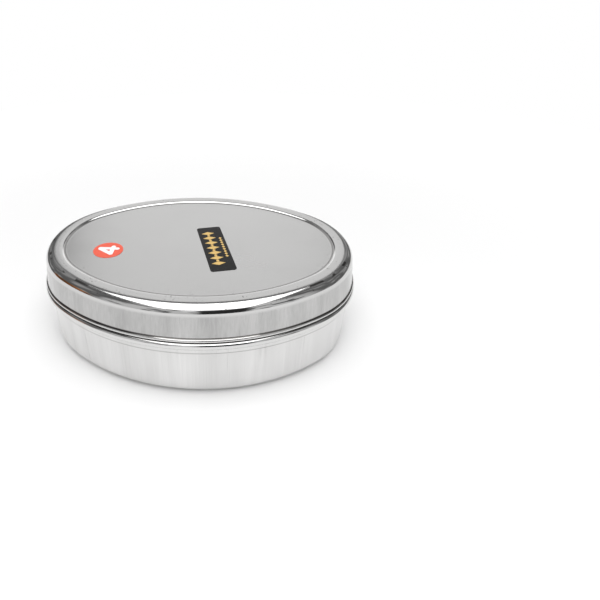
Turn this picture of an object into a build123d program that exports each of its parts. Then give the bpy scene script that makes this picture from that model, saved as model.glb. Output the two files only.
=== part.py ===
from build123d import *

import os
from math import atan2, degrees

# An oval stainless steel food tin: a deep-drawn pan with a push-on lid, and two stickers on the lid.
# Millimetres. The table is z = 0, X is the long axis, and the origin is under the middle of the pan.
#
# Every steel surface is an offset of one plan outline, an oval of four tangent arcs.
# An outline point is (inset, height): how far in from that oval, and how far above the table.

# Driving dimensions
half_length = 80.0
half_width = 59.5
end_radius = 48.0
sheet = 0.45
panel_inset = 20.0  # where the drawn wall hands over to the flat middle

# Pan
foot_width = 4.0
foot_height = 1.2
pan_corner = 6.8
wall_inset_low = 1.35
wall_inset_high = 1.05
crease_height = 26.4  # where the wall steps out to a narrow collar under the bead
crease_step = 0.15
bead_inset = -1.3
bead_low = 29.3
bead_high = 33.3
bead_nose = 1.9
neck_inset = 2.3
rim_inset = 1.85
rim_height = 44.8
flare_height = 1.3

# Lid
lid_gap = 0.25  # between the lid's lip and the pan's bead
lip_inset = -0.75
lip_height = 2.05
lip_slope = 0.8  # height over which the lip runs back to the skirt
lip_return = 1.4  # how far the lip turns in underneath
skirt_inset = 0.1
skirt_draft = 0.115  # inset gained per millimetre of height
shoulder = 4.7
crest_height = 51.3  # corner that the shoulder rounds off
ring_height = 51.0
step_inset = 10.0  # where the ring steps down to the sunk panel
step_run = 0.95
step_radius = 1.65
panel_height = 50.2

# Stickers
paper = 0.15
number_sticker_diameter = 15.2
number_sticker_place = (-44.4, -10.6)
label_width = 12.7
label_length = 44.5
label_corner = 1.5
label_place = (9.9, -5.05)
label_turn = 14.2

# The oval's long sides are arcs that meet the end arcs tangentially.
end_centre = half_length - end_radius
side_radius = (end_centre**2 + half_width**2 - end_radius**2) / (2 * (half_width - end_radius))
side_centre = side_radius - half_width
joint_angle = degrees(atan2(side_centre, end_centre))

# (centre x, centre y, radius, start angle, sweep) of the four arcs, anticlockwise
oval_arcs = [
    (end_centre, 0.0, end_radius, -joint_angle, 2 * joint_angle),
    (0.0, -side_centre, side_radius, joint_angle, 180 - 2 * joint_angle),
    (-end_centre, 0.0, end_radius, 180 - joint_angle, 2 * joint_angle),
    (0.0, side_centre, side_radius, 180 + joint_angle, 180 - 2 * joint_angle),
]


def oval(inset):
    """The flat oval at an inset."""
    edges = [CenterArc((x, y), radius - inset, start, sweep) for x, y, radius, start, sweep in oval_arcs]
    return make_face(edges)


def sheet_section(outline, radii, radius):
    """Section of the sheet beside one arc: the outer outline, filleted, and the sheet on its left."""
    points = [(radius - inset, height) for inset, height in outline]
    outer = FilletPolyline(*points, radius=radii)
    return make_face(offset(outer, amount=sheet, side=Side.LEFT, closed=True).edges())


def drawn_shell(outline, radii, middle_height):
    """One drawn sheet: its section revolved round each arc of the oval, and the flat middle."""
    shell = Pos(0, 0, middle_height) * extrude(oval(panel_inset), sheet)
    for x, y, radius, start, sweep in oval_arcs:
        upright = Location((x, y, 0), (0, 0, start)) * Location((0, 0, 0), (90, 0, 0))
        section = upright * sheet_section(outline, radii, radius)
        shell += revolve(section, Axis((x, y, 0), (0, 0, 1)), sweep)
    return shell


def base_pan():
    """Raised middle, foot ring, rounded bottom edge, wall, collar, bead, neck and flared rim."""
    foot_end = wall_inset_low + pan_corner
    foot_start = foot_end + foot_width
    outline = [
        (panel_inset, foot_height),
        (foot_start + foot_height, foot_height),
        (foot_start, 0.0),
        (wall_inset_low, 0.0),
        (wall_inset_high, crease_height - crease_step),
        (wall_inset_high - crease_step, crease_height),
        (wall_inset_high - crease_step, bead_low),
        (bead_inset, bead_low),
        (bead_inset, bead_high),
        (neck_inset, bead_high),
        (neck_inset, rim_height - flare_height),
        (rim_inset, rim_height),
    ]
    radii = [0.8, 0.8, pan_corner, 0.1, 0.1, 0.2, bead_nose, bead_nose, 0.6, 0.8]
    return drawn_shell(outline, radii, foot_height)


def lid():
    """Rolled lip, drafted skirt, round shoulder, flat ring and a step down to the sunk panel."""
    lip_low = bead_high + lid_gap
    skirt_low = lip_low + lip_height
    skirt_top_inset = skirt_inset + skirt_draft * (crest_height - skirt_low)
    outline = [
        (lip_inset + lip_return, lip_low),
        (lip_inset, lip_low),
        (lip_inset, skirt_low - lip_slope),
        (skirt_inset, skirt_low),
        (skirt_top_inset, crest_height),
        (step_inset, ring_height),
        (step_inset + step_run, panel_height),
        (panel_inset, panel_height),
    ]
    radii = [0.8, 1.0, 0.6, shoulder, step_radius, step_radius]
    return drawn_shell(outline, radii, panel_height - sheet)


def number_sticker():
    x, y = number_sticker_place
    return Pos(x, y, panel_height) * extrude(Circle(number_sticker_diameter / 2), paper)


def lid_label():
    x, y = label_place
    outline = RectangleRounded(label_width, label_length, label_corner)
    return Pos(x, y, panel_height) * Rot(0, 0, label_turn) * extrude(outline, paper)


pieces = {
    "base_pan": base_pan(),
    "lid": lid(),
    "number_sticker": number_sticker(),
    "lid_label": lid_label(),
}

os.makedirs("parts", exist_ok=True)
for name, piece in pieces.items():
    export_step(piece, f"parts/{name}.step")
    print(name, "solids", len(piece.solids()), "volume", round(piece.volume, 1))
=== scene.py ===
import math

import bmesh
import bpy
from mathutils import Matrix, Vector


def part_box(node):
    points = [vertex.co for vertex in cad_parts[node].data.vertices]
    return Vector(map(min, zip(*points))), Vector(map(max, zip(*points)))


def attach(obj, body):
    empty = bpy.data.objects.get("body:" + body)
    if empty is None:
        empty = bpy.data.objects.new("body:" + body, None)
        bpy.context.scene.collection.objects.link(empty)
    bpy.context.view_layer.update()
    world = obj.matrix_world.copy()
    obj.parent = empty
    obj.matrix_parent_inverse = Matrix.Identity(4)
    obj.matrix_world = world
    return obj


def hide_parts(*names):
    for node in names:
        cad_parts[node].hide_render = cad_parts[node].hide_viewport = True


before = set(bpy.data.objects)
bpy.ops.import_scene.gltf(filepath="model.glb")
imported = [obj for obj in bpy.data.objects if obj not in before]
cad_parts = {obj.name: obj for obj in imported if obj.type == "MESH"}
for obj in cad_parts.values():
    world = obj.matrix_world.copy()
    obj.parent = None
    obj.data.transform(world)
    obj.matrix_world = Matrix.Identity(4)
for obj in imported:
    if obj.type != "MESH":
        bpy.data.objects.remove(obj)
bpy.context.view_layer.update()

mm = 0.001

scene = bpy.context.scene
scene.view_settings.view_transform = "Standard"  # keeps the white table white

# the camera stands in front of the tin and a little to the right, and looks down
cameraValues = {
    "azimuth": 6.22,
    "elevation": 31.94,
    "roll": -1.55,
    "distance": 263.9 * mm,
    "lens": 29.64,
    "shiftX": 0.1704,
    "shiftY": -0.0563,
    "aimHeight": 35.55 * mm,  # the lid's lower edge
}


# azimuth 0 is straight in front of the tin, on the -Y side
def direction(azimuth, elevation):
    a, e = math.radians(azimuth), math.radians(elevation)
    return Vector((math.sin(a) * math.cos(e), -math.cos(a) * math.cos(e), math.sin(e)))


def makeCamera(v):
    back = direction(v["azimuth"], v["elevation"])
    data = bpy.data.cameras.new("camera")
    data.sensor_width = 36.0
    data.lens = v["lens"]
    data.shift_x = v["shiftX"]
    data.shift_y = v["shiftY"]
    data.clip_start = 0.005
    camera = bpy.data.objects.new("camera", data)
    camera.location = Vector((0, 0, v["aimHeight"])) + back * v["distance"]
    roll = Matrix.Rotation(math.radians(v["roll"]), 4, "Z").to_quaternion()
    camera.rotation_mode = "QUATERNION"
    camera.rotation_quaternion = (-back).to_track_quat("-Z", "Y") @ roll
    scene.collection.objects.link(camera)
    scene.camera = camera


makeCamera(cameraValues)
print("camera placed")


def addNode(tree, kind, **settings):
    node = tree.nodes.new(kind)
    for key, value in settings.items():
        setattr(node, key, value)
    return node


# links a socket to another one, or sets it
def fill(tree, socket, value):
    if isinstance(value, bpy.types.NodeSocket):
        tree.links.new(value, socket)
    else:
        socket.default_value = value


def calc(tree, operation, *values, clamp=False):
    node = addNode(tree, "ShaderNodeMath", operation=operation, use_clamp=clamp)
    for socket, value in zip(node.inputs, values):
        fill(tree, socket, value)
    return node.outputs[0]


# the product, the sum or the maximum of several values
def combine(tree, operation, first, *others):
    result = first
    for value in others:
        result = calc(tree, operation, result, value)
    return result


def vectorCalc(tree, operation, *values):
    node = addNode(tree, "ShaderNodeVectorMath", operation=operation)
    for socket, value in zip(node.inputs, values):
        fill(tree, socket, value)
    return node.outputs["Value" if operation in {"DOT_PRODUCT", "LENGTH"} else "Vector"]


def scaleVector(tree, vector, factor):
    node = addNode(tree, "ShaderNodeVectorMath", operation="SCALE")
    fill(tree, node.inputs[0], vector)
    fill(tree, node.inputs["Scale"], factor)
    return node.outputs["Vector"]


def splitVector(tree, vector):
    node = addNode(tree, "ShaderNodeSeparateXYZ")
    fill(tree, node.inputs[0], vector)
    return node.outputs


def joinVector(tree, x, y, z):
    node = addNode(tree, "ShaderNodeCombineXYZ")
    for socket, value in zip(node.inputs, (x, y, z)):
        fill(tree, socket, value)
    return node.outputs[0]


def ramp(tree, value, low, high, toLow=0.0, toHigh=1.0):
    node = addNode(tree, "ShaderNodeMapRange", interpolation_type="SMOOTHSTEP")
    for socket, number in zip(node.inputs, (value, low, high, toLow, toHigh)):
        fill(tree, socket, number)
    return node.outputs[0]


def distanceFrom(tree, value, level):
    return calc(tree, "ABSOLUTE", calc(tree, "SUBTRACT", value, level))


# a where amount is 0, b where it is 1
def mix(tree, dataType, socketType, amount, a, b):
    node = addNode(tree, "ShaderNodeMix", data_type=dataType)
    for name, kind, value in (("Factor", "VALUE", amount), ("A", socketType, a), ("B", socketType, b)):
        fill(tree, next(s for s in node.inputs if s.name == name and s.type == kind), value)
    return next(s for s in node.outputs if s.type == socketType)


def blend(tree, amount, a, b):
    return mix(tree, "FLOAT", "VALUE", amount, a, b)


def blendColour(tree, amount, a, b):
    return mix(tree, "RGBA", "RGBA", amount, a, b)


# object coordinates about a centre, turned about Z and stretched
def objectPoint(tree, turn=0.0, centre=(0.0, 0.0, 0.0), stretch=(1.0, 1.0, 1.0)):
    coordinates = addNode(tree, "ShaderNodeTexCoord").outputs["Object"]
    mapping = addNode(tree, "ShaderNodeMapping")
    fill(tree, mapping.inputs["Vector"], vectorCalc(tree, "SUBTRACT", coordinates, tuple(centre)))
    mapping.inputs["Rotation"].default_value = (0.0, 0.0, -math.radians(turn))
    mapping.inputs["Scale"].default_value = stretch
    return mapping.outputs[0]


# moves every noise off the origin, where its layers line up in a visible plane
noiseShift = (0.317, 0.523, 0.711)


def noise(tree, point, scale, detail=2.0, roughness=0.5):
    node = addNode(tree, "ShaderNodeTexNoise")
    fill(tree, node.inputs["Vector"], vectorCalc(tree, "ADD", point, noiseShift))
    node.inputs["Scale"].default_value = scale
    node.inputs["Detail"].default_value = detail
    node.inputs["Roughness"].default_value = roughness
    return node.outputs[0]


def newMaterial(name):
    material = bpy.data.materials.new(name)
    material.use_nodes = True
    return material, material.node_tree, material.node_tree.nodes["Principled BSDF"]


def relief(tree, shader, height, distance):
    bump = addNode(tree, "ShaderNodeBump")
    bump.inputs["Distance"].default_value = distance
    fill(tree, bump.inputs["Height"], height)
    fill(tree, shader.inputs["Normal"], bump.outputs[0])


# Steel of the lid: satin where it was drawn or rolled, polished where the tools have pressed it.
# A pair of lengths is how near its middle a line is full, and how far from it the line ends.
lidSteelValues = {
    "dark": (0.40, 0.398, 0.395, 1.0),
    "bright": (0.84, 0.835, 0.83, 1.0),
    # painted shade: how much darker the walls are painted than the flat panel
    "wallPaintedShade": 0.34,
    "panelRoughness": 0.24,
    "wallRoughness": 0.20,
    "polishedRoughness": 0.07,
    "smearScale": 45.0,
    "smearRoughness": 0.03,
    "lineScale": 1800.0,  # fine lines drawn up the walls
    "lineStretch": 0.01,
    "lineTone": 0.26,
    "lineRelief": 1.0,
    "bandScale": 95.0,  # and broad ones
    "bandStretch": 0.06,
    "bandTone": 0.42,
    "markScale": 700.0,  # and sparse dark ones
    "markStretch": 0.03,
    "markShare": (0.66, 0.76),
    "markTone": 0.10,
    "markRoughness": 0.08,
    "grainScale": 2200.0,  # grain of the rolled sheet on the flat faces
    "grainStretch": 0.15,
    "grainTone": 0.05,
    "grainRelief": 0.5,
    "patchScale": 30.0,
    "patchTone": 0.05,
    "patchRoughness": 0.04,
    "reliefHeight": 0.002 * mm,
    # colour of the grime dashes and specks, and of the painted shade at the step's foot, in the seam and
    # along the creases
    "grimeAndShade": (0.06, 0.055, 0.05, 1.0),
    "dirtTone": 0.85,
    "dashInset": 4.3 * mm,  # broken line where the polishing of the shoulder stops
    "dashWidth": (0.30 * mm, 0.70 * mm),
    "dashScale": 130.0,
    "dashShare": (0.54, 0.60),
    "dashEnds": (38 * mm, 50 * mm),  # only towards the two ends of the oval
    "speckInsets": (11.5 * mm, 16.5 * mm),  # specks left beside the step
    "speckScale": 900.0,
    "speckShare": (0.66, 0.72),
    "speckGroups": (0.45, 0.60),
    "footInset": 11.3 * mm,  # painted shade along the foot of the step
    "footWidth": (0.20 * mm, 0.75 * mm),
    "footShadeTone": 0.55,
    "seamHeight": 33.4 * mm,  # painted shade in the gap between the lid's lip and the pan's bead
    "seamWidth": (0.25 * mm, 0.75 * mm),
    "seamShadeTone": 0.85,
    "creaseHeight": 35.5 * mm,  # painted shade along the crease above the lip
    "creaseWidth": (0.20 * mm, 0.50 * mm),
    "creaseShadeTone": 0.85,
}

panSteelValues = {
    **lidSteelValues,
    "dark": (0.46, 0.458, 0.455, 1.0),
    "bright": (0.90, 0.897, 0.892, 1.0),
    "wallPaintedShade": 0.0,
    "lineTone": 0.20,
    "bandTone": 0.28,
    "markShare": (0.62, 0.72),
    "markTone": 0.16,
    "dirtTone": 0.0,
    "footShadeTone": 0.0,
    "creaseHeight": 26.3 * mm,  # painted shade along the crease under the pan's collar
    "creaseShadeTone": 0.35,
}


# the polish and the inset are the piece's own attributes, stored by its geometry nodes
def steelZones(tree):
    polish = addNode(tree, "ShaderNodeAttribute", attribute_name="polish").outputs["Fac"]
    inset = addNode(tree, "ShaderNodeAttribute", attribute_name="inset").outputs["Fac"]
    up = splitVector(tree, addNode(tree, "ShaderNodeNewGeometry").outputs["Normal"])["Z"]
    place = splitVector(tree, objectPoint(tree))
    flat = ramp(tree, calc(tree, "ABSOLUTE", up), 0.75, 0.97)
    satin = calc(tree, "SUBTRACT", 1.0, polish, clamp=True)
    return {
        "polish": polish,
        "inset": inset,
        "fromMiddle": calc(tree, "ABSOLUTE", place["X"]),
        "height": place["Z"],
        "flat": flat,
        "facingUp": ramp(tree, up, 0.4, 0.7),
        "wall": calc(tree, "MULTIPLY", satin, calc(tree, "SUBTRACT", 1.0, flat)),
        "panel": calc(tree, "MULTIPLY", satin, flat),
    }


# a dark line along one level of a value, strongest on the level itself; it serves grime and painted
# shade alike
def darkLine(tree, value, level, width):
    full, end = width
    return ramp(tree, distanceFrom(tree, value, level), end, full)


# dark marks on the steel: grime dashes and specks and painted shade at the step's foot, both on faces
# turned up, and painted shade in the seam and along the creases
def grimeAndPaintedShade(tree, zone, v):
    breaks = noise(tree, objectPoint(tree), v["dashScale"], 1.0)
    dash = combine(tree, "MULTIPLY", darkLine(tree, zone["inset"], v["dashInset"], v["dashWidth"]),
                   ramp(tree, breaks, *v["dashShare"]), ramp(tree, zone["fromMiddle"], *v["dashEnds"]))
    nearStep, farFromStep = v["speckInsets"]
    specks = combine(tree, "MULTIPLY",
                     ramp(tree, noise(tree, objectPoint(tree), v["speckScale"], 1.0), *v["speckShare"]),
                     ramp(tree, zone["inset"], farFromStep, nearStep),
                     ramp(tree, breaks, *v["speckGroups"]))
    dashes = calc(tree, "MULTIPLY", calc(tree, "MAXIMUM", dash, specks), v["dirtTone"])
    foot = darkLine(tree, zone["inset"], v["footInset"], v["footWidth"])
    top = calc(tree, "MAXIMUM", dashes, calc(tree, "MULTIPLY", foot, v["footShadeTone"]))
    seam = darkLine(tree, zone["height"], v["seamHeight"], v["seamWidth"])
    crease = darkLine(tree, zone["height"], v["creaseHeight"], v["creaseWidth"])
    return combine(tree, "MAXIMUM", calc(tree, "MULTIPLY", top, zone["facingUp"]),
                   calc(tree, "MULTIPLY", seam, v["seamShadeTone"]),
                   calc(tree, "MULTIPLY", crease, v["creaseShadeTone"]))


def steelMaterial(name, v):
    material, tree, shader = newMaterial(name)
    zone = steelZones(tree)

    def drawnUp(scale, stretch, detail=3.0):
        return noise(tree, objectPoint(tree, stretch=(1, 1, stretch)), scale, detail, 0.6)

    def swing(value, amount, where):
        return calc(tree, "MULTIPLY", blend(tree, value, -amount, amount), where)

    lines = drawnUp(v["lineScale"], v["lineStretch"])
    bands = drawnUp(v["bandScale"], v["bandStretch"])
    marks = ramp(tree, drawnUp(v["markScale"], v["markStretch"], 2.0), *v["markShare"])
    marks = calc(tree, "MULTIPLY", marks, zone["wall"])
    grain = noise(tree, objectPoint(tree, stretch=(1, v["grainStretch"], 1)), v["grainScale"], 2.0, 0.6)
    patches = noise(tree, objectPoint(tree), v["patchScale"])
    smears = noise(tree, objectPoint(tree, turn=35, stretch=(1, 2, 1)), v["smearScale"])

    # the last term darkens the walls against the flat panel: painted shade
    tone = combine(tree, "ADD", swing(lines, v["lineTone"], zone["wall"]),
                   swing(bands, v["bandTone"], zone["wall"]),
                   swing(grain, v["grainTone"], zone["panel"]),
                   blend(tree, patches, -v["patchTone"], v["patchTone"]),
                   calc(tree, "MULTIPLY", marks, -v["markTone"]),
                   calc(tree, "MULTIPLY", zone["wall"], -v["wallPaintedShade"]))
    tone = calc(tree, "ADD", tone, 0.5, clamp=True)
    colour = blendColour(tree, tone, v["dark"], v["bright"])
    # grime and painted shade darken the steel's colour
    colour = blendColour(tree, grimeAndPaintedShade(tree, zone, v), colour, v["grimeAndShade"])
    fill(tree, shader.inputs["Base Color"], colour)

    rough = combine(tree, "ADD", blend(tree, patches, -v["patchRoughness"], v["patchRoughness"]),
                    blend(tree, zone["flat"], v["wallRoughness"], v["panelRoughness"]),
                    calc(tree, "MULTIPLY", marks, v["markRoughness"]))
    rough = blend(tree, zone["polish"], rough, v["polishedRoughness"])
    smeared = calc(tree, "MULTIPLY", ramp(tree, smears, 0.45, 0.75), v["smearRoughness"])
    fill(tree, shader.inputs["Roughness"], calc(tree, "ADD", rough, smeared, clamp=True))

    lineHeight = combine(tree, "MULTIPLY", lines, zone["wall"], v["lineRelief"])
    grainHeight = combine(tree, "MULTIPLY", grain, zone["panel"], v["grainRelief"])
    relief(tree, shader, calc(tree, "ADD", lineHeight, grainHeight), v["reliefHeight"])
    shader.inputs["Metallic"].default_value = 1.0
    return material


lidSteel = steelMaterial("lidSteel", lidSteelValues)
panSteel = steelMaterial("panSteel", panSteelValues)
print("steel ready")

# how finely a pressed sheet is divided
meshValues = {
    "arcStep": 8.0,  # degrees of a rounded corner
    "runStep": 1.3 * mm,
    "hemSteps": 6,
    "middleRings": 14,
    "stepsAround": 288,
}


# One rounded corner of an outline, whose polish fades towards that of the next run.
# A sample is (point, side, polish), and side points across the sheet to its other face.
def cornerArc(corner, arriving, leaving, radius, polish, runPolish):
    turn = math.atan2(arriving.x * leaving.y - arriving.y * leaving.x, arriving.dot(leaving))
    reach = math.copysign(radius, turn)
    left = Vector((-arriving.y, arriving.x))
    centre = corner - arriving * radius * math.tan(abs(turn) / 2) + left * reach
    steps = max(3, math.ceil(math.degrees(abs(turn)) / meshValues["arcStep"]))
    samples = []
    for k in range(steps + 1):
        spun = left.copy()
        spun.rotate(Matrix.Rotation(turn * k / steps, 2))
        onward = max(0.0, 1.5 * k / steps - 0.5)
        samples.append((centre - spun * reach, -spun, polish + (runPolish - polish) * onward))
    return samples


# samples an outline of corners (inset, height, radius, polish, polish of the run after it)
def roundedRun(corners):
    points = [Vector(corner[:2]) for corner in corners]
    runs = [(b - a).normalized() for a, b in zip(points, points[1:])]
    first, last = runs[0], runs[-1]
    stretches = []
    for i in range(1, len(points) - 1):
        stretches.append(cornerArc(points[i], runs[i - 1], runs[i], *corners[i][2:]))
    stretches.append([(points[-1], Vector((last.y, -last.x)), corners[-1][3])])
    samples = [(points[0], Vector((first.y, -first.x)), corners[0][3])]
    for corner, stretch in zip(corners, stretches):
        here, side, polish = stretch[0]
        before = samples[-1][0]
        count = math.ceil((here - before).length / meshValues["runStep"])
        for k in range(1, count):
            samples.append((before.lerp(here, k / count), side, corner[4]))
        samples.extend(stretch)
    return samples


# the half-round edge of a sheet, past the last sample of its outline when way is 1
def sheetHem(edge, sheet, way):
    point, side, polish = edge
    ahead = Vector((-side.y, side.x)) * way
    middle = point + side * sheet / 2
    hem = []
    for k in range(1, meshValues["hemSteps"]):
        angle = math.pi * k / meshValues["hemSteps"]
        spoke = -side * math.cos(angle) + ahead * math.sin(angle)
        hem.append((middle + spoke * sheet / 2, side, 1.0))
    return hem


# The closed section of a sheet, from the middle along one face, round the open edge and back.
# A row is (inset, height, shrink, polish), and the shrink is 0 in the very middle of the piece.
def sheetLoop(corners, sheet, opensLast):
    outer = roundedRun(corners)
    inner = [(point + side * sheet, side, polish) for point, side, polish in outer]
    if opensLast:
        loop = outer + sheetHem(outer[-1], sheet, 1) + inner[::-1]
    else:
        loop = inner[::-1] + sheetHem(outer[0], sheet, -1)[::-1] + outer
    rows = [(point.x, point.y, 1.0, polish) for point, side, polish in loop]
    shrinks = [k / meshValues["middleRings"] for k in range(meshValues["middleRings"])]
    start = [(*rows[0][:2], shrink, rows[0][3]) for shrink in shrinks]
    finish = [(*rows[-1][:2], shrink, rows[-1][3]) for shrink in reversed(shrinks)]
    return start + rows + finish


# keeps a section where the nodes can read it: x is the inset, y the shrink, z the height
def sectionObject(name, rows):
    mesh = bpy.data.meshes.new(name)
    mesh.from_pydata([(inset, shrink, height) for inset, height, shrink, polish in rows], [], [])
    attribute = mesh.attributes.new("polish", "FLOAT", "POINT")
    attribute.data.foreach_set("value", [row[3] for row in rows])
    return bpy.data.objects.new(name, mesh)


def newTree(name, inputs):
    tree = bpy.data.node_groups.new(name, "GeometryNodeTree")
    for inputName, kind in inputs.items():
        tree.interface.new_socket(inputName, in_out="INPUT", socket_type="NodeSocket" + kind)
    tree.interface.new_socket("Geometry", in_out="OUTPUT", socket_type="NodeSocketGeometry")
    return tree, addNode(tree, "NodeGroupInput").outputs


def finishTree(tree, geometry, material):
    real = addNode(tree, "GeometryNodeRealizeInstances")
    fill(tree, real.inputs[0], geometry)
    coated = addNode(tree, "GeometryNodeSetMaterial")
    fill(tree, coated.inputs["Geometry"], real.outputs[0])
    fill(tree, coated.inputs["Material"], material)
    fill(tree, addNode(tree, "NodeGroupOutput").inputs[0], coated.outputs[0])


def storeFloat(tree, geometry, name, value):
    stored = addNode(tree, "GeometryNodeStoreNamedAttribute", data_type="FLOAT", domain="POINT")
    fill(tree, stored.inputs["Geometry"], geometry)
    stored.inputs["Name"].default_value = name
    fill(tree, stored.inputs["Value"], value)
    return stored.outputs[0]


# The point at an angle on the oval of four tangent arcs, drawn in by an inset.
# The centre that it turns about changes where an end arc meets a side arc.
def ovalPoint(tree, given, angle, inset, shrink):
    across, along = calc(tree, "COSINE", angle), calc(tree, "SINE", angle)
    endCentre, sideCentre = given["End Centre"], given["Side Centre"]
    squares = calc(tree, "ADD", calc(tree, "MULTIPLY", endCentre, endCentre),
                   calc(tree, "MULTIPLY", sideCentre, sideCentre))
    joint = calc(tree, "DIVIDE", endCentre, calc(tree, "SQRT", squares))
    isEnd = calc(tree, "GREATER_THAN", calc(tree, "ABSOLUTE", across), joint)
    isSide = calc(tree, "SUBTRACT", 1.0, isEnd)
    radius = blend(tree, isEnd, given["Side Radius"], given["End Radius"])
    radius = calc(tree, "SUBTRACT", radius, inset)
    centreX = combine(tree, "MULTIPLY", calc(tree, "SIGN", across), endCentre, isEnd)
    centreY = combine(tree, "MULTIPLY", calc(tree, "SIGN", along), sideCentre, isSide)
    x = calc(tree, "MULTIPLY_ADD", radius, across, centreX)
    y = calc(tree, "SUBTRACT", calc(tree, "MULTIPLY", radius, along), centreY)
    return calc(tree, "MULTIPLY", x, shrink), calc(tree, "MULTIPLY", y, shrink)


# slight unevenness of thin pressed metal, the same on both faces of the sheet
def dents(tree, given, point):
    waves = addNode(tree, "ShaderNodeTexNoise", noise_dimensions="4D")
    fill(tree, waves.inputs["Vector"], point)
    fill(tree, waves.inputs["W"], given["Seed"])
    fill(tree, waves.inputs["Scale"], given["Dent Scale"])
    waves.inputs["Detail"].default_value = 1.0
    push = vectorCalc(tree, "SUBTRACT", waves.outputs["Color"], (0.5, 0.5, 0.5))
    return scaleVector(tree, push, given["Dent Depth"])


# carries a section round the oval: a grid whose columns are the angle and whose rows are the section's
def ovalSheetTree():
    tree, given = newTree("ovalSheet", {
        "Section": "Object", "Steps Around": "Int", "End Centre": "Float", "End Radius": "Float",
        "Side Centre": "Float", "Side Radius": "Float", "Dent Depth": "Float", "Dent Scale": "Float",
        "Seed": "Float", "Material": "Material"})
    section = addNode(tree, "GeometryNodeObjectInfo", transform_space="ORIGINAL")
    fill(tree, section.inputs["Object"], given["Section"])
    size = addNode(tree, "GeometryNodeAttributeDomainSize", component="MESH")
    fill(tree, size.inputs[0], section.outputs["Geometry"])
    rowCount = size.outputs["Point Count"]
    grid = addNode(tree, "GeometryNodeMeshGrid")
    grid.inputs["Size X"].default_value = 1.0
    grid.inputs["Size Y"].default_value = 1.0
    fill(tree, grid.inputs["Vertices X"], calc(tree, "ADD", given["Steps Around"], 1.0))
    fill(tree, grid.inputs["Vertices Y"], rowCount)

    place = splitVector(tree, addNode(tree, "GeometryNodeInputPosition").outputs[0])
    angle = calc(tree, "MULTIPLY", calc(tree, "ADD", place["X"], 0.5), 2 * math.pi)
    lastRow = calc(tree, "SUBTRACT", rowCount, 1.0)
    row = calc(tree, "MULTIPLY", calc(tree, "ADD", place["Y"], 0.5), lastRow)
    row = calc(tree, "ROUND", row)

    def fromSection(kind, value):
        node = addNode(tree, "GeometryNodeSampleIndex", data_type=kind, domain="POINT")
        fill(tree, node.inputs["Geometry"], section.outputs["Geometry"])
        fill(tree, node.inputs["Value"], value)
        fill(tree, node.inputs["Index"], row)
        return node.outputs["Value"]

    position = addNode(tree, "GeometryNodeInputPosition").outputs[0]
    inset, shrink, height = splitVector(tree, fromSection("FLOAT_VECTOR", position))
    named = addNode(tree, "GeometryNodeInputNamedAttribute", data_type="FLOAT")
    named.inputs["Name"].default_value = "polish"
    polish = fromSection("FLOAT", named.outputs["Attribute"])
    x, y = ovalPoint(tree, given, angle, inset, shrink)
    target = joinVector(tree, x, y, height)

    marked = storeFloat(tree, grid.outputs["Mesh"], "polish", polish)
    marked = storeFloat(tree, marked, "inset", inset)
    moved = addNode(tree, "GeometryNodeSetPosition")
    fill(tree, moved.inputs["Geometry"], marked)
    fill(tree, moved.inputs["Position"], target)
    fill(tree, moved.inputs["Offset"], dents(tree, given, target))
    merged = addNode(tree, "GeometryNodeMergeByDistance")
    fill(tree, merged.inputs["Geometry"], moved.outputs[0])
    merged.inputs["Distance"].default_value = 0.002 * mm
    smooth = addNode(tree, "GeometryNodeSetShadeSmooth")
    fill(tree, smooth.inputs["Geometry"], merged.outputs[0])
    finishTree(tree, smooth.outputs[0], given["Material"])
    return tree


# evaluates a geometry node tree once and keeps its result as a plain mesh object
def runTree(name, tree, inputs):
    carrier = bpy.data.objects.new(name + "Maker", bpy.data.meshes.new(name + "Maker"))
    scene.collection.objects.link(carrier)
    modifier = carrier.modifiers.new("nodes", "NODES")
    modifier.node_group = tree
    for socket in tree.interface.items_tree:
        if socket.in_out == "INPUT":
            modifier[socket.identifier] = inputs[socket.name]
    bpy.context.view_layer.update()
    evaluated = carrier.evaluated_get(bpy.context.evaluated_depsgraph_get())
    mesh = bpy.data.meshes.new_from_object(evaluated)
    mesh.name = name
    carrier.modifiers.remove(modifier)
    bpy.data.objects.remove(carrier)
    piece = bpy.data.objects.new(name, mesh)
    scene.collection.objects.link(piece)
    return piece


# the plan oval that both sheets follow
ovalValues = {
    "beadReach": 1.3 * mm,  # how far the pan's bead stands outside the oval
    "endRadius": 48.0 * mm,
}


def ovalArcs(v):
    low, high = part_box("base_pan")
    halfLength, halfWidth = high.x - v["beadReach"], high.y - v["beadReach"]
    endRadius = v["endRadius"]
    endCentre = halfLength - endRadius
    sideRadius = (endCentre ** 2 + halfWidth ** 2 - endRadius ** 2) / (2 * (halfWidth - endRadius))
    return {"End Centre": endCentre, "End Radius": endRadius,
            "Side Centre": sideRadius - halfWidth, "Side Radius": sideRadius}


oval = ovalArcs(ovalValues)
sheetTree = ovalSheetTree()


def pressSheet(name, corners, opensLast, steel, v):
    rows = sheetLoop(corners, v["sheet"], opensLast)
    return runTree(name, sheetTree, {
        **oval, "Section": sectionObject(name + "Section", rows), "Material": steel,
        "Steps Around": meshValues["stepsAround"], "Dent Depth": v["dentDepth"],
        "Dent Scale": v["dentScale"], "Seed": v["dentSeed"]})


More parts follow.
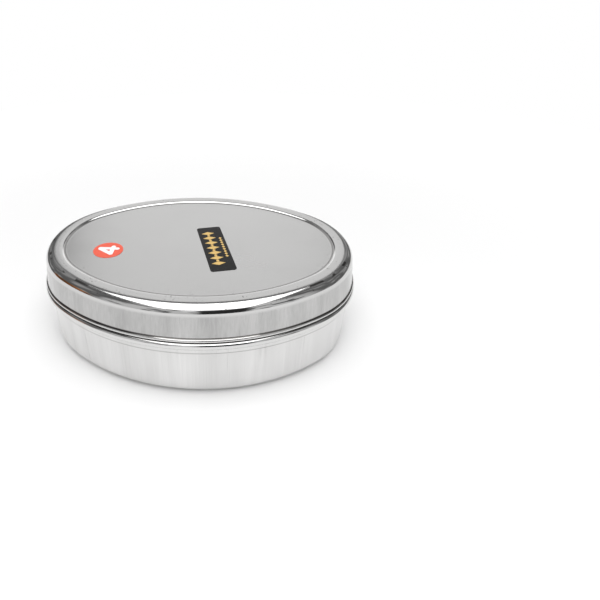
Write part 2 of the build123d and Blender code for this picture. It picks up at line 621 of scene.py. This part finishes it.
panValues = {
    "sheet": 0.45 * mm,
    "middle": 20.0 * mm,  # inset where the wall's section hands over to the flat middle
    "footHeight": 1.2 * mm,
    "footStart": 12.15 * mm,
    "footRound": 0.8 * mm,
    "corner": 6.8 * mm,
    "wallLow": 1.35 * mm,
    "wallHigh": 1.05 * mm,
    "collarStep": 0.15 * mm,
    "collarHeight": 26.4 * mm,
    "collarRound": 0.1 * mm,
    "bead": -1.3 * mm,
    "beadLow": 29.3 * mm,
    "beadHigh": 33.3 * mm,
    "beadNose": 1.9 * mm,
    "beadRoot": 0.2 * mm,
    "neck": 2.3 * mm,
    "neckRound": 0.6 * mm,
    "rim": 1.85 * mm,
    "rimHeight": 44.8 * mm,
    "flare": 1.3 * mm,
    "flareRound": 0.8 * mm,
    "dentDepth": 0.10 * mm,
    "dentScale": 38.0,
    "dentSeed": 3.0,
}


def makePan(v):
    footSlope = v["footHeight"] / 2
    collar = v["wallHigh"] - v["collarStep"]
    # each corner's inset, height, radius and polish, and the polish of the run after it
    corners = [
        (v["middle"], v["footHeight"], 0, 0.45, 0.45),
        (v["footStart"] + footSlope, v["footHeight"], v["footRound"], 0.7, 0.6),
        (v["footStart"] - footSlope, 0.0, v["footRound"], 0.7, 0.5),
        (v["wallLow"], 0.0, v["corner"], 0.85, 0.1),
        (v["wallHigh"], v["collarHeight"] - v["collarStep"], v["collarRound"], 0.3, 0.5),
        (collar, v["collarHeight"], v["collarRound"], 0.3, 0.35),
        (collar, v["beadLow"], v["beadRoot"], 1.0, 1.0),
        (v["bead"], v["beadLow"], v["beadNose"], 1.0, 1.0),
        (v["bead"], v["beadHigh"], v["beadNose"], 1.0, 1.0),
        (v["neck"], v["beadHigh"], v["neckRound"], 0.9, 0.1),
        (v["neck"], v["rimHeight"] - v["flare"], v["flareRound"], 0.5, 0.5),
        (v["rim"], v["rimHeight"], 0, 0.8, 0),
    ]
    return pressSheet("basePan", corners, True, panSteel, v)


pan = makePan(panValues)
print("pan pressed:", len(pan.data.polygons), "faces")

lidValues = {
    "sheet": 0.45 * mm,
    "middle": 20.0 * mm,
    "lip": -0.75 * mm,
    "lipReturn": 1.4 * mm,
    "lipSlope": 0.8 * mm,
    "lipHeight": 2.05 * mm,
    "lipRoundLow": 0.8 * mm,
    "lipRoundHigh": 1.0 * mm,
    "skirt": 0.1 * mm,
    "skirtRound": 0.6 * mm,
    "draft": 0.115,  # inset gained per height
    "shoulder": 4.7 * mm,
    "cornerHeight": 51.3 * mm,
    "ringHeight": 51.0 * mm,
    "step": 10.0 * mm,
    "stepRun": 0.95 * mm,
    "stepRadius": 1.65 * mm,
    "dentDepth": 0.10 * mm,
    "dentScale": 34.0,
    "dentSeed": 11.0,
}


def makeLid(v):
    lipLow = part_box("lid")[0].z
    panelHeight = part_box("number_sticker")[0].z
    skirtLow = lipLow + v["lipHeight"]
    skirtTop = v["skirt"] + v["draft"] * (v["cornerHeight"] - skirtLow)
    # each corner's inset, height, radius and polish, and the polish of the run after it
    corners = [
        (v["lip"] + v["lipReturn"], lipLow, 0, 1.0, 1.0),
        (v["lip"], lipLow, v["lipRoundLow"], 1.0, 1.0),
        (v["lip"], skirtLow - v["lipSlope"], v["lipRoundHigh"], 1.0, 1.0),
        (v["skirt"], skirtLow, v["skirtRound"], 0.8, 0.1),
        (skirtTop, v["cornerHeight"], v["shoulder"], 1.0, 0.3),
        (v["step"], v["ringHeight"], v["stepRadius"], 0.75, 0.75),
        (v["step"] + v["stepRun"], panelHeight, v["stepRadius"], 0.6, 0.0),
        (v["middle"], panelHeight, 0, 0.0, 0.0),
    ]
    return pressSheet("lidShell", corners, False, lidSteel, v)


lid = makeLid(lidValues)
print("lid pressed:", len(lid.data.polygons), "faces")


def nodeCentre(node):
    low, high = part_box(node)
    return (low + high) / 2, high.z


# a flat sticker with a rounded upper edge, from its outline about its own middle
def paperPiece(name, outline, place, turn, top, v):
    bm = bmesh.new()
    face = bm.faces.new([bm.verts.new((x, y, 0)) for x, y in outline])
    thickness = v["paper"] + v["sink"]
    extruded = bmesh.ops.extrude_face_region(bm, geom=[face])["geom"]
    raised = [g for g in extruded if isinstance(g, bmesh.types.BMVert)]
    bmesh.ops.translate(bm, verts=raised, vec=(0, 0, thickness))
    rim = [edge for edge in bm.edges if all(vert in raised for vert in edge.verts)]
    bmesh.ops.bevel(bm, geom=rim, offset=v["edgeRound"], segments=2, affect="EDGES", profile=0.5)
    bmesh.ops.recalc_face_normals(bm, faces=bm.faces)
    spin = Matrix.Rotation(math.radians(turn), 4, "Z")
    placed = Matrix.Translation((place.x, place.y, top - thickness)) @ spin
    bmesh.ops.transform(bm, matrix=placed, verts=bm.verts)
    mesh = bpy.data.meshes.new(name)
    bm.to_mesh(mesh)
    bm.free()
    piece = bpy.data.objects.new(name, mesh)
    scene.collection.objects.link(piece)
    return piece


# coated paper: uneven gloss and a faint relief over the printed colour
def paperFinish(tree, shader, mottle, height, v):
    fill(tree, shader.inputs["Roughness"], ramp(tree, mottle, 0.2, 0.8, *v["roughness"]))
    shader.inputs["Specular IOR Level"].default_value = v["specular"]
    relief(tree, shader, height, v["reliefHeight"])


numberValues = {
    "paper": 0.15 * mm,
    "sink": 0.05 * mm,  # how far the paper's underside lies in the steel
    "edgeRound": 0.05 * mm,
    "segments": 96,
    "turn": 90.0,  # the numeral's top points to -X
    # straight strokes of the numeral, from one point to another, and their width, in millimetres
    "strokes": (((1.6, 4.3), (1.6, -4.4)), ((-3.5, -2.0), (3.4, -2.0)), ((1.1, 4.3), (-3.5, -2.0))),
    "strokeWidth": 2.3,
    "strokeBlur": 0.04,
    "red": (0.82, 0.120, 0.070, 1.0),
    "deepRed": (0.62, 0.10, 0.06, 1.0),
    "white": (0.86, 0.87, 0.88, 1.0),
    "mottleScale": 900.0,
    "mottleTone": 0.3,
    "roughness": (0.34, 0.46),
    "specular": 0.3,
    "reliefHeight": 0.005 * mm,
}


# distance from a point to a straight stroke, both in the sticker's own plane
def strokeDistance(tree, point, start, end):
    run = Vector((end[0] - start[0], end[1] - start[1], 0))
    offset = vectorCalc(tree, "SUBTRACT", point, (*start, 0.0))
    reach = vectorCalc(tree, "DOT_PRODUCT", offset, tuple(run))
    share = calc(tree, "DIVIDE", reach, run.length_squared, clamp=True)
    nearest = scaleVector(tree, tuple(run), share)
    return vectorCalc(tree, "LENGTH", vectorCalc(tree, "SUBTRACT", offset, nearest))


def numberMaterial(v, place):
    material, tree, shader = newMaterial("numberPaper")
    flatPoint = objectPoint(tree, v["turn"], (place.x, place.y, 0.0), (1 / mm, 1 / mm, 0.0))
    distances = [strokeDistance(tree, flatPoint, start, end) for start, end in v["strokes"]]
    half = v["strokeWidth"] / 2
    nearest = combine(tree, "MINIMUM", *distances)
    numeral = ramp(tree, nearest, half + v["strokeBlur"], half - v["strokeBlur"])
    mottle = noise(tree, objectPoint(tree), v["mottleScale"], 3.0)
    red = blendColour(tree, ramp(tree, mottle, 0.3, 0.7, 0.0, v["mottleTone"]), v["red"], v["deepRed"])
    fill(tree, shader.inputs["Base Color"], blendColour(tree, numeral, red, v["white"]))
    paperFinish(tree, shader, mottle, calc(tree, "ADD", mottle, numeral), v)
    return material


def makeNumber(v):
    place, top = nodeCentre("number_sticker")
    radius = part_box("number_sticker")[1].x - place.x
    angles = [2 * math.pi * k / v["segments"] for k in range(v["segments"])]
    outline = [(radius * math.cos(a), radius * math.sin(a)) for a in angles]
    piece = paperPiece("numberSticker", outline, place, 0.0, top, v)
    piece.data.materials.append(numberMaterial(v, place))
    return piece


labelValues = {
    "paper": 0.15 * mm,
    "sink": 0.05 * mm,
    "edgeRound": 0.05 * mm,
    "width": 12.7 * mm,
    "length": 44.5 * mm,
    "corner": 1.5 * mm,
    "cornerSteps": 8,
    "turn": 14.2,
    "black": (0.006, 0.006, 0.007, 1.0),
    "greyBlack": (0.014, 0.013, 0.012, 1.0),
    "mottleScale": 1200.0,
    "dust": (0.3, 0.3, 0.3, 1.0),
    "dustScale": 2600.0,
    "dustShare": (0.70, 0.74),
    "dustTone": 0.25,
    "roughness": (0.36, 0.48),
    "specular": 0.16,
    "reliefHeight": 0.004 * mm,
}

# gold ornament: lozenges with a bead between each two, and a line of small tiles beside them
goldValues = {
    "gold": (0.72, 0.46, 0.13, 1.0),
    "paleGold": (0.80, 0.56, 0.21, 1.0),
    "mottleScale": 1500.0,
    "roughness": (0.30, 0.45),
    "metallic": 0.45,
    "foil": 0.03 * mm,
    "lozengeRow": -1.3 * mm,
    "lozengeCount": 7,
    "lozengePitch": 5.1 * mm,
    "lozengeSize": 3.4 * mm,
    "lozengeSlimness": 0.5,
    "beadSize": 0.748 * mm,
    "beadSides": 24,
    "tileRow": 4.1 * mm,
    "tileCount": 9,
    "tilePitch": 2.3 * mm,
    "tileSize": 0.85 * mm,
    "tileSlimness": 1.25,
}


def labelMaterial(v):
    material, tree, shader = newMaterial("labelPaper")
    mottle = noise(tree, objectPoint(tree), v["mottleScale"], 3.0)
    dust = ramp(tree, noise(tree, objectPoint(tree), v["dustScale"], 1.0), *v["dustShare"])
    ink = blendColour(tree, mottle, v["black"], v["greyBlack"])
    ink = blendColour(tree, calc(tree, "MULTIPLY", dust, v["dustTone"]), ink, v["dust"])
    fill(tree, shader.inputs["Base Color"], ink)
    paperFinish(tree, shader, mottle, mottle, v)
    return material


def goldMaterial(v):
    material, tree, shader = newMaterial("goldFoil")
    mottle = noise(tree, objectPoint(tree), v["mottleScale"])
    fill(tree, shader.inputs["Base Color"], blendColour(tree, mottle, v["gold"], v["paleGold"]))
    fill(tree, shader.inputs["Roughness"], ramp(tree, mottle, 0.2, 0.8, *v["roughness"]))
    shader.inputs["Metallic"].default_value = v["metallic"]
    return material


def roundedRectangle(width, length, corner, steps):
    outline = []
    for sideX, sideY, start in ((1, 1, 0), (-1, 1, 90), (-1, -1, 180), (1, -1, 270)):
        centreX, centreY = sideX * (width / 2 - corner), sideY * (length / 2 - corner)
        for k in range(steps + 1):
            a = math.radians(start + 90 * k / steps)
            outline.append((centreX + corner * math.cos(a), centreY + corner * math.sin(a)))
    return outline


# a row of equal flat tiles along Y, each with any number of sides
def ornamentTree():
    tree, given = newTree("ornamentRow", {
        "Count": "Int", "Pitch": "Float", "Size": "Float", "Slimness": "Float", "Sides": "Int",
        "Thickness": "Float", "Material": "Material"})
    tile = addNode(tree, "GeometryNodeMeshCylinder")
    fill(tree, tile.inputs["Vertices"], given["Sides"])
    fill(tree, tile.inputs["Radius"], given["Size"])
    fill(tree, tile.inputs["Depth"], given["Thickness"])
    gaps = calc(tree, "SUBTRACT", given["Count"], 1.0)
    start = calc(tree, "MULTIPLY", gaps, calc(tree, "MULTIPLY", given["Pitch"], -0.5))
    line = addNode(tree, "GeometryNodeMeshLine", mode="OFFSET")
    fill(tree, line.inputs["Count"], given["Count"])
    fill(tree, line.inputs["Start Location"], joinVector(tree, 0.0, start, 0.0))
    fill(tree, line.inputs["Offset"], joinVector(tree, 0.0, given["Pitch"], 0.0))
    placed = addNode(tree, "GeometryNodeInstanceOnPoints")
    fill(tree, placed.inputs["Points"], line.outputs[0])
    fill(tree, placed.inputs["Instance"], tile.outputs["Mesh"])
    fill(tree, placed.inputs["Scale"], joinVector(tree, 1.0, given["Slimness"], 1.0))
    finishTree(tree, placed.outputs[0], given["Material"])
    return tree


def makeLabel(v):
    place, top = nodeCentre("lid_label")
    outline = roundedRectangle(v["width"], v["length"], v["corner"], v["cornerSteps"])
    piece = paperPiece("lidLabel", outline, place, v["turn"], top, v)
    piece.data.materials.append(labelMaterial(v))
    return piece


def makeOrnaments(v, turn):
    place, top = nodeCentre("lid_label")
    onLabel = Matrix.Translation((place.x, place.y, top)) @ Matrix.Rotation(math.radians(turn), 4, "Z")
    gold = goldMaterial(v)
    tree = ornamentTree()
    lozenge = (v["lozengePitch"], v["lozengeSize"], v["lozengeSlimness"], 4)
    bead = (v["lozengePitch"], v["beadSize"], 1.0, v["beadSides"])
    tile = (v["tilePitch"], v["tileSize"], v["tileSlimness"], 4)
    rows = (
        ("goldLozenges", v["lozengeRow"], v["lozengeCount"], lozenge),
        ("goldBeads", v["lozengeRow"], v["lozengeCount"] - 1, bead),
        ("goldDashes", v["tileRow"], v["tileCount"], tile),
    )
    pieces = []
    for name, row, count, (pitch, size, slimness, sides) in rows:
        piece = runTree(name, tree, {"Count": count, "Pitch": pitch, "Size": size, "Slimness": slimness,
                                     "Sides": sides, "Thickness": v["foil"], "Material": gold})
        piece.data.transform(onLabel @ Matrix.Translation((row, 0, 0)))
        pieces.append(piece)
    return pieces


number = makeNumber(numberValues)
label = makeLabel(labelValues)
ornaments = makeOrnaments(goldValues, labelValues["turn"])
print("stickers cut")

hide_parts("base_pan")
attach(pan, "base")
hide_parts("lid")
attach(lid, "lid")
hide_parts("number_sticker")
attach(number, "lid")
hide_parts("lid_label")
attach(label, "lid")
for piece in ornaments:
    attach(piece, "lid")
print("pieces ride on their bodies")

tableValues = {
    "radius": 0.55,
    "segments": 128,
    "colour": 0.88,
    "roughness": (0.65, 0.75),
    "glowFrom": 0.11,
    "glowTo": 0.42,
}


# a pale sheet that glows more and more away from the tin, painted light that makes it plain white so
# that no horizon shows behind it
def makeTable(v):
    bm = bmesh.new()
    bmesh.ops.create_circle(bm, cap_ends=True, segments=v["segments"], radius=v["radius"])
    mesh = bpy.data.meshes.new("table")
    bm.to_mesh(mesh)
    bm.free()
    table = bpy.data.objects.new("table", mesh)
    scene.collection.objects.link(table)
    material, tree, shader = newMaterial("tablePaper")
    # painted light: the emission rises with the distance from the tin
    lit = ramp(tree, vectorCalc(tree, "LENGTH", objectPoint(tree)), v["glowFrom"], v["glowTo"])
    fibres = noise(tree, objectPoint(tree), 300.0)
    fill(tree, shader.inputs["Base Color"], blend(tree, lit, v["colour"], 0.0))
    shader.inputs["Emission Color"].default_value = (1.0, 1.0, 1.0, 1.0)
    fill(tree, shader.inputs["Emission Strength"], lit)
    fill(tree, shader.inputs["Roughness"], ramp(tree, fibres, 0.3, 0.7, *v["roughness"]))
    mesh.materials.append(material)


softboxValues = {
    "height": 1.8,
    "width": 2.1,
    "depth": 2.7,
    "forward": 0.75,
    "power": 50.0,
}


def makeSoftbox(v):
    data = bpy.data.lights.new("softbox", "AREA")
    data.shape = "RECTANGLE"
    data.size = v["width"]
    data.size_y = v["depth"]
    data.energy = v["power"]
    softbox = bpy.data.objects.new("softbox", data)
    azimuth = cameraValues["azimuth"]
    softbox.location = direction(azimuth, 0) * v["forward"] + Vector((0, 0, v["height"]))
    softbox.rotation_euler = (0, 0, math.radians(azimuth))
    softbox.visible_camera = False
    scene.collection.objects.link(softbox)


# The room for the steel to reflect: pale behind the tin, dark at the sides and where the camera stands.
# A pair is where a fade starts and ends, as a part of the unit vector towards the wall, or in the noise.
wallValues = {
    "background": 1.0,  # what the camera sees past the table
    "upper": 0.90,
    "ceiling": 0.16,
    "ceilingFade": (0.66, 0.78),
    "lower": 0.14,
    "lowerGlow": 0.42,
    "lowerGaps": (0.46, 0.66),
    "frontGlow": 0.70,
    "frontGaps": (0.40, 0.46),
    "frontFade": (0.30, 0.55),
    "gapScale": 4.2,
    "skyline": 0.30,  # top of the dark lower walls, in front of the tin and behind it
    "skylineRise": 0.62,  # and how much higher it is at the sides
    "skylineSides": (0.24, 0.38),
    "skylineFade": (0.08, -0.10),
    "backdrop": 1.35,
    "backdropShift": 0.03,
    "backdropWidth": (0.30, 0.18),
    "backdropHeight": (0.36, 0.24),
    "backdropFade": (-0.5, -0.8),
    "person": 0.03,  # whoever holds the camera
    "personShift": 0.16,
    "personWidth": (0.30, 0.20),
    "personHeight": (0.62, 0.48),
    "personFade": (0.3, 0.5),
    "wood": (1.0, 0.42, 0.16, 1.0),
    "woodSide": (-0.93, -0.97),
    "woodHeight": (0.22, 0.16),
}


# low down it is dark all round with pale gaps; higher up only the two sides are dark
def wallTone(tree, look, height, toCamera, toRight, v):
    toSide = distanceFrom(tree, toRight, v["backdropShift"])
    clouds = addNode(tree, "ShaderNodeTexNoise")
    fill(tree, clouds.inputs["Vector"], look)
    clouds.inputs["Scale"].default_value = v["gapScale"]
    clouds.inputs["Detail"].default_value = 1.0
    allRound = ramp(tree, clouds.outputs[0], *v["lowerGaps"], v["lower"], v["lowerGlow"])
    inFront = ramp(tree, clouds.outputs[0], *v["frontGaps"], v["lower"], v["frontGlow"])
    lower = blend(tree, ramp(tree, toCamera, *v["frontFade"]), allRound, inFront)
    rise = ramp(tree, toSide, *v["skylineSides"])
    skyline = calc(tree, "MULTIPLY_ADD", rise, v["skylineRise"], v["skyline"])
    isLow = ramp(tree, calc(tree, "SUBTRACT", height, skyline), *v["skylineFade"])
    upper = blend(tree, ramp(tree, height, *v["ceilingFade"]), v["upper"], v["ceiling"])
    tone = blend(tree, isLow, upper, lower)

    backdrop = combine(tree, "MULTIPLY", ramp(tree, toCamera, *v["backdropFade"]),
                       ramp(tree, toSide, *v["backdropWidth"]), ramp(tree, height, *v["backdropHeight"]))
    tone = blend(tree, backdrop, tone, v["backdrop"])
    fromPerson = distanceFrom(tree, toRight, v["personShift"])
    person = combine(tree, "MULTIPLY", ramp(tree, fromPerson, *v["personWidth"]),
                     ramp(tree, height, *v["personHeight"]), ramp(tree, toCamera, *v["personFade"]))
    return blend(tree, person, tone, v["person"])


def makeWalls(v):
    world = bpy.data.worlds.new("studio")
    world.use_nodes = True
    scene.world = world
    tree = world.node_tree
    shader = tree.nodes["Background"]
    look = addNode(tree, "ShaderNodeTexCoord").outputs["Generated"]
    height = splitVector(tree, look)["Z"]
    azimuth = cameraValues["azimuth"]
    toCamera = vectorCalc(tree, "DOT_PRODUCT", look, tuple(direction(azimuth, 0)))
    toRight = vectorCalc(tree, "DOT_PRODUCT", look, tuple(direction(azimuth + 90, 0)))
    seen = addNode(tree, "ShaderNodeLightPath").outputs["Is Camera Ray"]
    tone = wallTone(tree, look, height, toCamera, toRight, v)
    fill(tree, shader.inputs["Strength"], blend(tree, seen, tone, v["background"]))
    wood = combine(tree, "MULTIPLY", ramp(tree, toRight, *v["woodSide"]),
                   ramp(tree, height, *v["woodHeight"]), calc(tree, "SUBTRACT", 1.0, seen))
    fill(tree, shader.inputs["Color"], blendColour(tree, wood, (1.0, 1.0, 1.0, 1.0), v["wood"]))


makeTable(tableValues)
makeSoftbox(softboxValues)
makeWalls(wallValues)
print("studio lit")
